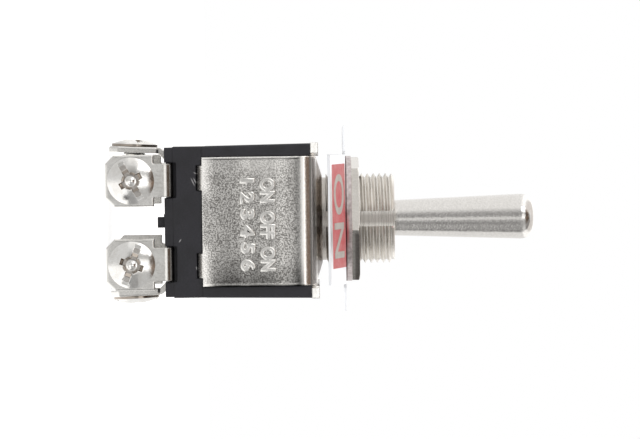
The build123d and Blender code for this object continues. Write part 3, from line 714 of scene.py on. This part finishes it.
def plain_metal(name, first, second, roughness):
    """Small inner metal parts, with a light blotchiness."""
    material, shader, surface = new_material(name, first, roughness, 1.0)
    mottle = use_group(shader, "mottle", Cloud=700.0, Grain=5000.0, Mix=0.5)
    tint(shader, surface, mottle["Mask"], first, second)
    roughen(shader, surface, mottle["Mask"], roughness * 0.7, roughness * 1.3)
    return material


def print_ink(name, colour, worn):
    """Matt ink of the indicator plate, thin in places."""
    material, shader, surface = new_material(name, colour, 0.5)
    mottle = use_group(shader, "mottle", Cloud=900.0, Grain=6000.0, Mix=0.5)
    tint(shader, surface, mottle["Mask"], colour, worn)
    return material


def make_finishes():
    """Every finish by its slot name."""
    make_mottle_group()
    make_brush_group()
    make_turned_group()
    return {
        "nickel_sheet": nickel_sheet(),
        "satin_sheet": satin_sheet(),
        "washer_steel": washer_steel(),
        "nickel_turned": nickel_turned(),
        "nut_nickel": nut_nickel(),
        "satin_nickel": satin_nickel(),
        "screw_nickel": screw_nickel(),
        "indicator_sheet": indicator_sheet(),
        "black_moulding": black_moulding(),
        "pale_nylon": pale_nylon(),
        "brass": plain_metal("brass", (0.62, 0.46, 0.22), (0.74, 0.58, 0.32), 0.3),
        "contact_silver": plain_metal(
            "contact_silver", (0.78, 0.77, 0.74), (0.88, 0.87, 0.85), 0.2),
        "spring_steel": plain_metal("spring_steel", (0.50, 0.50, 0.51), (0.60, 0.60, 0.61), 0.3),
        "steel_pin": plain_metal("steel_pin", (0.55, 0.55, 0.55), (0.65, 0.65, 0.64), 0.3),
        "red_ink": print_ink("red_ink", (0.68, 0.10, 0.12), (0.74, 0.27, 0.27)),
        "pale_ink": print_ink("pale_ink", (0.52, 0.47, 0.44), (0.66, 0.62, 0.58)),
    }


def dress_nodes(finishes):
    """Gives every solid of the model the finish that its slot names, but the terminals, the lock
    washer and the nut finishes of their own.
    """
    for row in frame["record"]["subparts"]:
        finish = row["material_slot"]
        if row["node"].startswith("terminal"):
            finish = "satin_sheet"
        if row["node"] == "lock_washer":
            finish = "washer_steel"
        if row["node"] == "hex_nut":
            finish = "nut_nickel"
        for material_slot in nodes[row["node"]].material_slots:
            material_slot.material = finishes[finish]


# Pieces


def finish_piece(name, mesh, finish, standing_for=None, body="switch_body"):
    """Puts a finished mesh in the scene as a piece of a body. Inks have no slot."""
    piece = bpy.data.objects.new(name, mesh)
    bpy.context.scene.collection.objects.link(piece)
    mesh.materials.clear()
    mesh.materials.append(finishes[finish])
    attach(piece, body)
    if standing_for:
        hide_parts(standing_for)
    return piece


def take_mesh(name, shape, smooth_below=None):
    """Turns a bmesh into a mesh with outward faces, smooth where the angle is small."""
    bmesh.ops.recalc_face_normals(shape, faces=shape.faces)
    mesh = bpy.data.meshes.new(name)
    shape.to_mesh(mesh)
    shape.free()
    if smooth_below:
        mesh.polygons.foreach_set("use_smooth", [True] * len(mesh.polygons))
        mesh.set_sharp_from_angle(angle=smooth_below)
    return mesh


def chain(shape, points):
    """A row of joined vertices."""
    verts = [shape.verts.new(point) for point in points]
    edges = [shape.edges.new(pair) for pair in zip(verts, verts[1:])]
    return verts + edges


def cut_across(shape, place, normal, **clear):
    """Cuts the whole shape along a plane."""
    everything = shape.verts[:] + shape.edges[:] + shape.faces[:]
    bmesh.ops.bisect_plane(
        shape, geom=everything, dist=CLOSE, plane_co=place, plane_no=normal, **clear)


def rim_at(shape, height):
    """Open edges of the shape at one height."""
    return [edge for edge in shape.edges if edge.is_boundary
            and all(abs(vert.co.z - height) < WELD for vert in edge.verts)]


def grow_rim(shape, edges, radius, height):
    """Extrudes a rim to a round one of a given radius and height."""
    grown = bmesh.ops.extrude_edge_only(shape, edges=edges)["geom"]
    for vert in (item for item in grown if isinstance(item, bmesh.types.BMVert)):
        vert.co.xy = vert.co.xy.normalized() * radius
        vert.co.z = height
    return [item for item in grown if isinstance(item, bmesh.types.BMEdge)]


def make_bushing():
    """Bushing with a real helical thread, chamfer, keyway, mouth and flange."""
    low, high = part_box("bushing")
    flange_radius = high.x
    flange_top = low.z + FLANGE_HEIGHT
    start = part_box("mounting_frame")[1].z + NECK_RISE
    pitches = round((high.z - start) / THREAD_PITCH)
    depth = THREAD_CREST - THREAD_ROOT
    shape = bmesh.new()
    points = []
    for pitch in range(1 - THREAD_SPARE, pitches + THREAD_SPARE):
        for along, out in THREAD_RIB:
            points.append((THREAD_ROOT + out * depth, 0.0, start + (pitch + along) * THREAD_PITCH))
    bmesh.ops.spin(
        shape, geom=chain(shape, points), axis=(0.0, 0.0, 1.0), cent=(0.0, 0.0, 0.0),
        dvec=(0.0, 0.0, THREAD_PITCH / TURN_STEPS), angle=2 * pi, steps=TURN_STEPS, use_merge=False)
    bmesh.ops.remove_doubles(shape, verts=shape.verts, dist=WELD)
    cut_across(shape, (0.0, 0.0, start), (0.0, 0.0, 1.0), clear_inner=True)
    cut_across(shape, (0.0, 0.0, high.z), (0.0, 0.0, 1.0), clear_outer=True)
    cut_across(shape, (0.0, 0.0, high.z - THREAD_CHAMFER), (0.0, 0.0, 1.0))
    wall_foot = KEYWAY_HALF + KEYWAY_WALL
    for side in (-wall_foot, -KEYWAY_HALF, KEYWAY_HALF, wall_foot):
        cut_across(shape, (side, 0.0, 0.0), (1.0, 0.0, 0.0))
    for vert in shape.verts:
        reach = vert.co.xy.length
        limit = THREAD_CREST - max(0.0, vert.co.z - high.z + THREAD_CHAMFER)
        if reach > limit:
            vert.co.xy *= limit / reach
        if abs(vert.co.x) < KEYWAY_HALF + KEYWAY_WALL / 2:
            vert.co.y = max(vert.co.y, -KEYWAY_DEPTH)
    rim = grow_rim(shape, rim_at(shape, high.z), MOUTH_RADIUS, high.z)
    for radius, height in (
        (SEAT_MOUTH_RADIUS, high.z - SEAT_MOUTH_DROP),
        (SEAT_RADIUS, high.z - SEAT_MOUTH_DROP - SEAT_MOUTH_RADIUS),
        (SEAT_RADIUS, low.z),
        (flange_radius, low.z),
        (flange_radius, flange_top),
        (NECK_RADIUS, flange_top),
        (NECK_RADIUS, start),
    ):
        rim = grow_rim(shape, rim, radius, height)
    bmesh.ops.bridge_loops(shape, edges=rim_at(shape, start))
    mesh = take_mesh("threaded_bushing", shape, THREAD_SMOOTH)
    finish_piece("threaded_bushing", mesh, "nickel_turned", "bushing")


def round_body(points, steps):
    """A solid turned about Z from a profile of (radius, height)."""
    shape = bmesh.new()
    profile = chain(shape, [(radius, 0.0, height) for radius, height in points])
    bmesh.ops.spin(
        shape, geom=profile, axis=(0.0, 0.0, 1.0), cent=(0.0, 0.0, 0.0),
        angle=2 * pi, steps=steps, use_merge=True)
    bmesh.ops.remove_doubles(shape, verts=shape.verts, dist=CLOSE)
    return shape


def sink(shape, faces, height):
    """Presses a patch of faces straight down to a flat floor."""
    pressed = bmesh.ops.extrude_face_region(shape, geom=faces)["geom"]
    bmesh.ops.delete(shape, geom=faces, context="FACES_ONLY")
    for vert in (item for item in pressed if isinstance(item, bmesh.types.BMVert)):
        vert.co.z = height


def open_pit(shape, floor, step):
    """Takes out the slot's walls where they stand across the pit, and joins the floor below."""

    def seen_from_above(verts):
        return frozenset((round(vert.co.x / CLOSE), round(vert.co.y / CLOSE)) for vert in verts)

    sunk = [vert for vert in shape.verts if abs(vert.co.z - floor) < CLOSE]
    bmesh.ops.remove_doubles(shape, verts=sunk, dist=CLOSE)
    doubled = {seen_from_above(edge.verts) for edge in shape.edges if len(edge.link_faces) > 2}
    walls = [face for face in shape.faces if seen_from_above(face.verts) in doubled]
    bmesh.ops.delete(shape, geom=walls, context="FACES")
    for edge in [edge for edge in shape.edges if edge.is_boundary]:
        low, high = sorted(edge.verts, key=lambda vert: vert.co.z)
        if low.co.z < step - CLOSE and high.co.z > step + CLOSE:
            bmesh.utils.edge_split(edge, low, (step - low.co.z) / (high.co.z - low.co.z))
    bmesh.ops.remove_doubles(shape, verts=shape.verts, dist=CLOSE)
    return [vert for vert in shape.verts if abs(vert.co.z - floor) < CLOSE]


def dome_height(radius, dome_radius):
    """Height of the head's dome at a distance from its axis."""
    return HEAD_HEIGHT - dome_radius + sqrt(max(0.0, dome_radius**2 - radius**2))


def shade_recess(shape, dome_radius):
    """Marks how much painted brown shade each face of the recess takes: its walls, its arms and the
    slot's floor.
    """
    recess_shade = shape.faces.layers.float.new("recess_shade")
    for face in shape.faces:
        centre = face.calc_center_median()
        radius = centre.xy.length
        if not 0.0 < centre.z < dome_height(radius, dome_radius) - HEAD_EDGE:
            continue
        deep = min(vert.co.z for vert in face.verts) < HEAD_HEIGHT - SLOT_DEPTH - HEAD_EDGE
        wall = face.normal.z < LEVEL
        if deep and wall:
            face[recess_shade] = RECESS_SHADE
        elif deep and radius > PIP_RADIUS:
            face[recess_shade] = ARM_SHADE
        elif not deep and not wall:
            face[recess_shade] = SLOT_SHADE


def make_head_mesh():
    """Screw with a low domed head, a slot, a cross recess and a pip at its bottom."""
    rise = HEAD_HEIGHT - HEAD_RIM
    dome_radius = (HEAD_RADIUS**2 + rise**2) / (2 * rise)
    profile = [(0.0, -SHANK_LENGTH), (SHANK_ROOT, -SHANK_LENGTH)]
    for turn in range(int(SHANK_LENGTH / SHANK_PITCH)):
        height = -SHANK_LENGTH + (turn + 0.5) * SHANK_PITCH
        profile += [(SHANK_CREST, height), (SHANK_ROOT, height + SHANK_PITCH / 2)]
    profile += [(SHANK_ROOT, 0.0), (HEAD_RADIUS - HEAD_EDGE, 0.0), (HEAD_RADIUS, HEAD_EDGE)]
    for step in range(HEAD_RINGS + 1):
        radius = HEAD_RADIUS * (1.0 - step / HEAD_RINGS)
        profile.append((radius, dome_height(radius, dome_radius)))
    shape = round_body(profile, HEAD_STEPS)
    bmesh.ops.recalc_face_normals(shape, faces=shape.faces)
    for half, axis in (
        (SLOT_WIDTH / 2, 1), (SLOT_LENGTH / 2, 0), (CROSS_SPAN / 2, 0),
        (CROSS_SPAN / 2, 1), (CROSS_WIDTH / 2, 0),
    ):
        for side in (-half, half):
            place = Vector((0.0, 0.0, HEAD_HEIGHT))
            place[axis] = side
            normal = Vector((0.0, 0.0, 0.0))
            normal[axis] = 1.0
            top = [face for face in shape.faces if face.calc_center_median().z > HEAD_RIM]
            edges = dict.fromkeys(edge for face in top for edge in face.edges)
            verts = dict.fromkeys(vert for face in top for vert in face.verts)
            bmesh.ops.bisect_plane(
                shape, geom=[*top, *edges, *verts], dist=CLOSE, plane_co=place, plane_no=normal)

    def patch(inside):
        """Faces of the head that look up and whose centre passes a test."""
        centres = {face: face.calc_center_median() for face in shape.faces if face.normal.z > 0.5}
        return [face for face, centre in centres.items()
                if centre.z > 0.0 and inside(abs(centre.x), abs(centre.y))]

    slot_floor = HEAD_HEIGHT - SLOT_DEPTH
    cross_floor = HEAD_HEIGHT - CROSS_DEPTH
    sink(shape, patch(lambda x, y: x < SLOT_LENGTH / 2 and y < SLOT_WIDTH / 2), slot_floor)
    shape.normal_update()
    sink(shape, patch(
        lambda x, y: hypot(x, y) < PIT_RADIUS
        or min(x, y) < CROSS_WIDTH / 2 and max(x, y) < CROSS_SPAN / 2), cross_floor)
    for vert in open_pit(shape, cross_floor, slot_floor):
        vert.co.xy *= CROSS_DRAW
        inward = max(0.0, 1.0 - (vert.co.xy.length / PIP_RADIUS) ** 2)
        vert.co.z += PIP_HEIGHT * inward**2
    shape.normal_update()
    shade_recess(shape, dome_radius)
    lips = [edge for edge in shape.edges
            if edge.is_manifold and edge.calc_face_angle() > LIP_ANGLE
            and all(vert.co.z > HEAD_RIM for vert in edge.verts)]
    bmesh.ops.bevel(shape, geom=lips, offset=HEAD_EDGE / 2, segments=2, profile=0.5,
                    affect="EDGES", material=-1, clamp_overlap=True)
    return take_mesh("screw", shape, HEAD_SMOOTH)


def make_screws():
    """Six terminal screws: one at each end of both poles, and one in each middle terminal."""
    pattern = make_head_mesh()
    for place, turn in SLOT_TURNS.items():
        low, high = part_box(f"screw_{place}")
        middle = (low + high) / 2
        if place.startswith("common"):
            side = -1 if middle.x < 0 else 1
            reach = max(abs(low.x), abs(high.x)) - HEAD_HEIGHT
            seat = Vector((side * reach, 0.0, SCREW_LIFT))
            out = Vector((side * cos(COMMON_LEAN), 0.0, sin(COMMON_LEAN)))
        else:
            end = -1 if middle.y < 0 else 1
            reach = max(abs(low.y), abs(high.y)) - HEAD_HEIGHT
            seat = Vector((middle.x, end * reach, SCREW_LIFT))
            out = Vector((0.0, end, 0.0))
        across = out.cross((0.0, 0.0, 1.0)).normalized()
        up = across.cross(out)
        axes = Matrix((up, -across, out)).transposed().to_4x4()
        mesh = pattern.copy()
        mesh.transform(Matrix.Translation(seat) @ axes @ Matrix.Rotation(turn, 4, "Z"))
        finish_piece(f"slotted_screw_{place}", mesh, "screw_nickel", f"screw_{place}")


def make_coils():
    """The springs over the plungers, as pieces of the lever, each with its own mesh."""
    for side in ("left", "right"):
        mesh = nodes[f"spring_{side}"].data.copy()
        coil = finish_piece(f"coil_{side}", mesh, "spring_steel", f"spring_{side}", body="lever")
        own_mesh(coil)


def letters(words, width, height, extrude, bevel, swell, spacing=1.0):
    """Words as a mesh in the XY plane, centred, with a given width and height in metres.

    The extrusion, bevel and swell are in the font's own units, where a line is about 1 high.
    """
    curve = bpy.data.curves.new("words", "FONT")
    curve.body = words
    curve.align_x = "CENTER"
    curve.extrude = extrude
    curve.bevel_depth = bevel
    curve.bevel_resolution = 2
    curve.offset = swell
    curve.space_character = spacing
    written = bpy.data.objects.new("words", curve)
    bpy.context.scene.collection.objects.link(written)
    graph = bpy.context.evaluated_depsgraph_get()
    mesh = bpy.data.meshes.new_from_object(written.evaluated_get(graph))
    bpy.data.objects.remove(written)
    bpy.data.curves.remove(curve)
    low = Vector(min(v.co[axis] for v in mesh.vertices) for axis in range(3))
    high = Vector(max(v.co[axis] for v in mesh.vertices) for axis in range(3))
    middle = (low + high) / 2
    scale = Vector((width / (high.x - low.x), height / (high.y - low.y), 1.0))
    scale.z = scale.y
    mesh.transform(Matrix.Diagonal((*scale, 1.0)) @ Matrix.Translation(-middle))
    return mesh


def make_leg_rows():
    """Two raised rows on each leg of the frame: switch places and counting numbers."""
    low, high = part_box("mounting_frame")
    for end, name, face in ((-1, "front", low.y), (1, "back", high.y)):
        for row, height in ROW_HEIGHTS.items():
            mesh = letters(
                ROW_WORDS[row], ROW_WIDTH, LETTER_HEIGHT, 0.0, LETTER_BEVEL, LETTER_SWELL)
            upright = Matrix(((-end, 0, 0), (0, 0, end), (0, 1, 0))).to_4x4()
            mesh.transform(Matrix.Translation((-end * ROW_ASIDE, face, height)) @ upright)
            finish_piece(f"leg_row_{row}_{name}", mesh, "satin_sheet")


def make_tab_prints():
    """Red field with pale letters on each tab of the indicator plate."""
    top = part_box("indicator_plate")[1].z
    for end, name in ((-1, "front"), (1, "back")):
        turn = Matrix.Rotation(0.0 if end < 0 else pi, 4, "Z")
        slope = Matrix.Rotation(TAB_SLOPE, 4, "X")
        place = turn @ Matrix.Translation((0.0, -TAB_BEND_AT, top)) @ slope
        field = bmesh.new()
        bmesh.ops.create_cube(field, size=1.0)
        bmesh.ops.scale(field, verts=field.verts, vec=(FIELD_WIDTH, FIELD_LENGTH, INK_THICKNESS))
        middle = Vector((FIELD_ASIDE, -FIELD_START - FIELD_LENGTH / 2, INK_THICKNESS / 2))
        place = place @ Matrix.Translation(middle) @ Matrix.Rotation(FIELD_ASKEW, 4, "Z")
        bmesh.ops.transform(field, verts=field.verts, matrix=place)
        finish_piece(f"print_field_{name}", take_mesh(f"print_field_{name}", field), "red_ink")
        mesh = letters(
            PRINT_WORD, PRINT_WIDTH, PRINT_HEIGHT, INK_THICKNESS / PRINT_HEIGHT, 0.0,
            PRINT_SWELL, PRINT_SPACING)
        mesh.transform(place @ Matrix.Translation((0.0, 0.0, INK_THICKNESS)))
        finish_piece(f"print_letters_{name}", mesh, "pale_ink")


# Camera, light and floor


def make_camera():
    """Looks along +Y at the switch lying on its side, with the lever to the right."""
    camera = bpy.data.objects.new("camera", bpy.data.cameras.new("camera"))
    bpy.context.scene.collection.objects.link(camera)
    bpy.context.scene.camera = camera
    camera.data.lens = CAMERA_LENS
    camera.data.clip_start = CAMERA_DISTANCE / 10
    camera.data.clip_end = CAMERA_DISTANCE * 10
    back = Vector((-sin(CAMERA_SWING), -cos(CAMERA_SWING), 0.0))
    along = Vector((0.0, 0.0, 1.0))
    over = back.cross(along)
    right = cos(CAMERA_ROLL) * along - sin(CAMERA_ROLL) * over
    up = sin(CAMERA_ROLL) * along + cos(CAMERA_ROLL) * over
    turn = Matrix((right, up, back)).transposed().to_4x4()
    target = Vector((CAMERA_ASIDE, 0.0, CAMERA_HEIGHT))
    camera.matrix_world = Matrix.Translation(target + back * CAMERA_DISTANCE) @ turn


def make_world():
    """Surroundings that the metal reflects, by turn from the front to the left and by rise.

    A softbox on the left, grey round about, a bright strip above the horizon, a dark warm card
    over it, and light from below. The camera itself sees white.
    """
    world = bpy.data.worlds.new("studio")
    bpy.context.scene.world = world
    world.use_nodes = True
    world.node_tree.nodes.clear()
    shader = Shader(world.node_tree)
    parts = shader.parts(shader.add("ShaderNodeTexCoord").outputs["Generated"])
    turn = shader.math("ARCTAN2", shader.times(parts["X"], -1.0), shader.times(parts["Y"], -1.0))
    rise = shader.math("ARCSINE", parts["Z"])
    aside = shader.size(turn)

    def between(value, low, high, out_low=0.0, out_high=1.0):
        """Smooth step of an angle, with its ends in degrees."""
        return shader.spread(value, radians(low), radians(high), out_low, out_high)

    def off(value, degrees):
        return shader.size(shader.less(value, radians(degrees)))

    def patch(at_turn, at_rise, full, faded):
        """A round patch of the surroundings, 1 inside and 0 outside."""
        squares = [shader.times(away, away) for away in (off(turn, at_turn), off(rise, at_rise))]
        return between(shader.math("SQRT", shader.plus(*squares)), full, faded, 1.0, 0.0)

    softbox = between(turn, 14, 52, 0.0, 0.7)
    back_right = between(turn, -87, -95, 0.0, 0.6)
    strip = between(off(turn, -9), 2, 13, 0.5, 0.0)
    gap = between(off(turn, -82), 2, 6, -0.12, 0.0)
    around = shader.plus(shader.plus(softbox, back_right), shader.plus(strip, 0.38), gap)
    in_front = shader.larger(between(aside, 6, 17, 1.0, 0.2), between(aside, 50, 62, 0.0, 0.42))
    above = shader.times(between(rise, 9, 13), between(rise, 32, 40, 1.0, 0.0))
    lit = shader.plus(around, shader.times(above, in_front))
    card = shader.times(
        between(rise, 36, 45), between(rise, 72, 80, 1.0, 0.0), between(aside, 26, 52, 1.0, 0.15))
    light = shader.times(lit, shader.rest(shader.times(card, 0.72)))
    below = between(rise, -4, -11)
    low_light = shader.plus(between(turn, 8, -10, 0.72, 1.25), between(turn, -35, -60, 0.0, 0.3))
    light = shader.plus(
        shader.times(light, shader.rest(below)), shader.times(low_light, below))
    spot = patch(-36, -11, 3, 9)
    light = shader.times(light, shader.rest(shader.times(spot, 0.95)))
    colour = shader.blend(card, (1.0, 0.99, 0.975, 1.0), (1.0, 0.72, 0.54, 1.0))
    seen = shader.add("ShaderNodeLightPath").outputs["Is Camera Ray"]
    surroundings = shader.add("ShaderNodeBackground", Color=colour, Strength=light)
    white = shader.add("ShaderNodeBackground", Color=WHITE, Strength=1.0)
    output = shader.add("ShaderNodeOutputWorld")
    shader.feed(output.inputs["Surface"], shader.choose(seen, surroundings, white))


def make_light(name, place, size, power):
    """A soft square lamp that faces the switch."""
    lamp = bpy.data.lights.new(name, "AREA")
    lamp.size = size
    lamp.energy = power
    light = bpy.data.objects.new(name, lamp)
    bpy.context.scene.collection.objects.link(light)
    middle = Vector((0.0, 0.0, CAMERA_HEIGHT))
    light.location = place
    light.rotation_euler = (middle - Vector(place)).to_track_quat("-Z", "Y").to_euler()


def make_floor():
    """Pale floor under the terminals. It takes the switch's shadow, and metal doesn't show it."""
    shape = bmesh.new()
    bmesh.ops.create_circle(shape, cap_ends=True, segments=FLOOR_STEPS, radius=FLOOR_RADIUS)
    bmesh.ops.translate(shape, verts=shape.verts, vec=(0.0, 0.0, cad_box[0].z))
    mesh = bpy.data.meshes.new("floor")
    shape.to_mesh(mesh)
    shape.free()
    floor = bpy.data.objects.new("floor", mesh)
    bpy.context.scene.collection.objects.link(floor)
    material, shader, surface = new_material("floor", (0.8, 0.8, 0.8), 0.9)
    path = shader.add("ShaderNodeLightPath").outputs
    glow = shader.times(path["Is Camera Ray"], FLOOR_GLOW)
    shine = shader.add("ShaderNodeEmission", Color=WHITE, Strength=glow)
    both = shader.add("ShaderNodeAddShader")
    shader.feed(both.inputs[0], surface.outputs[0])
    shader.feed(both.inputs[1], shine.outputs[0])
    clear = shader.add("ShaderNodeBsdfTransparent")
    output = material.node_tree.nodes["Material Output"]
    shader.feed(output.inputs["Surface"], shader.choose(path["Is Glossy Ray"], both, clear))
    mesh.materials.append(material)


bpy.context.scene.view_settings.view_transform = "Standard"
finishes = make_finishes()
dress_nodes(finishes)
make_bushing()
make_screws()
make_coils()
make_leg_rows()
make_tab_prints()
make_camera()
make_world()
make_light("key", KEY_PLACE, KEY_SIZE, KEY_POWER)
make_floor()
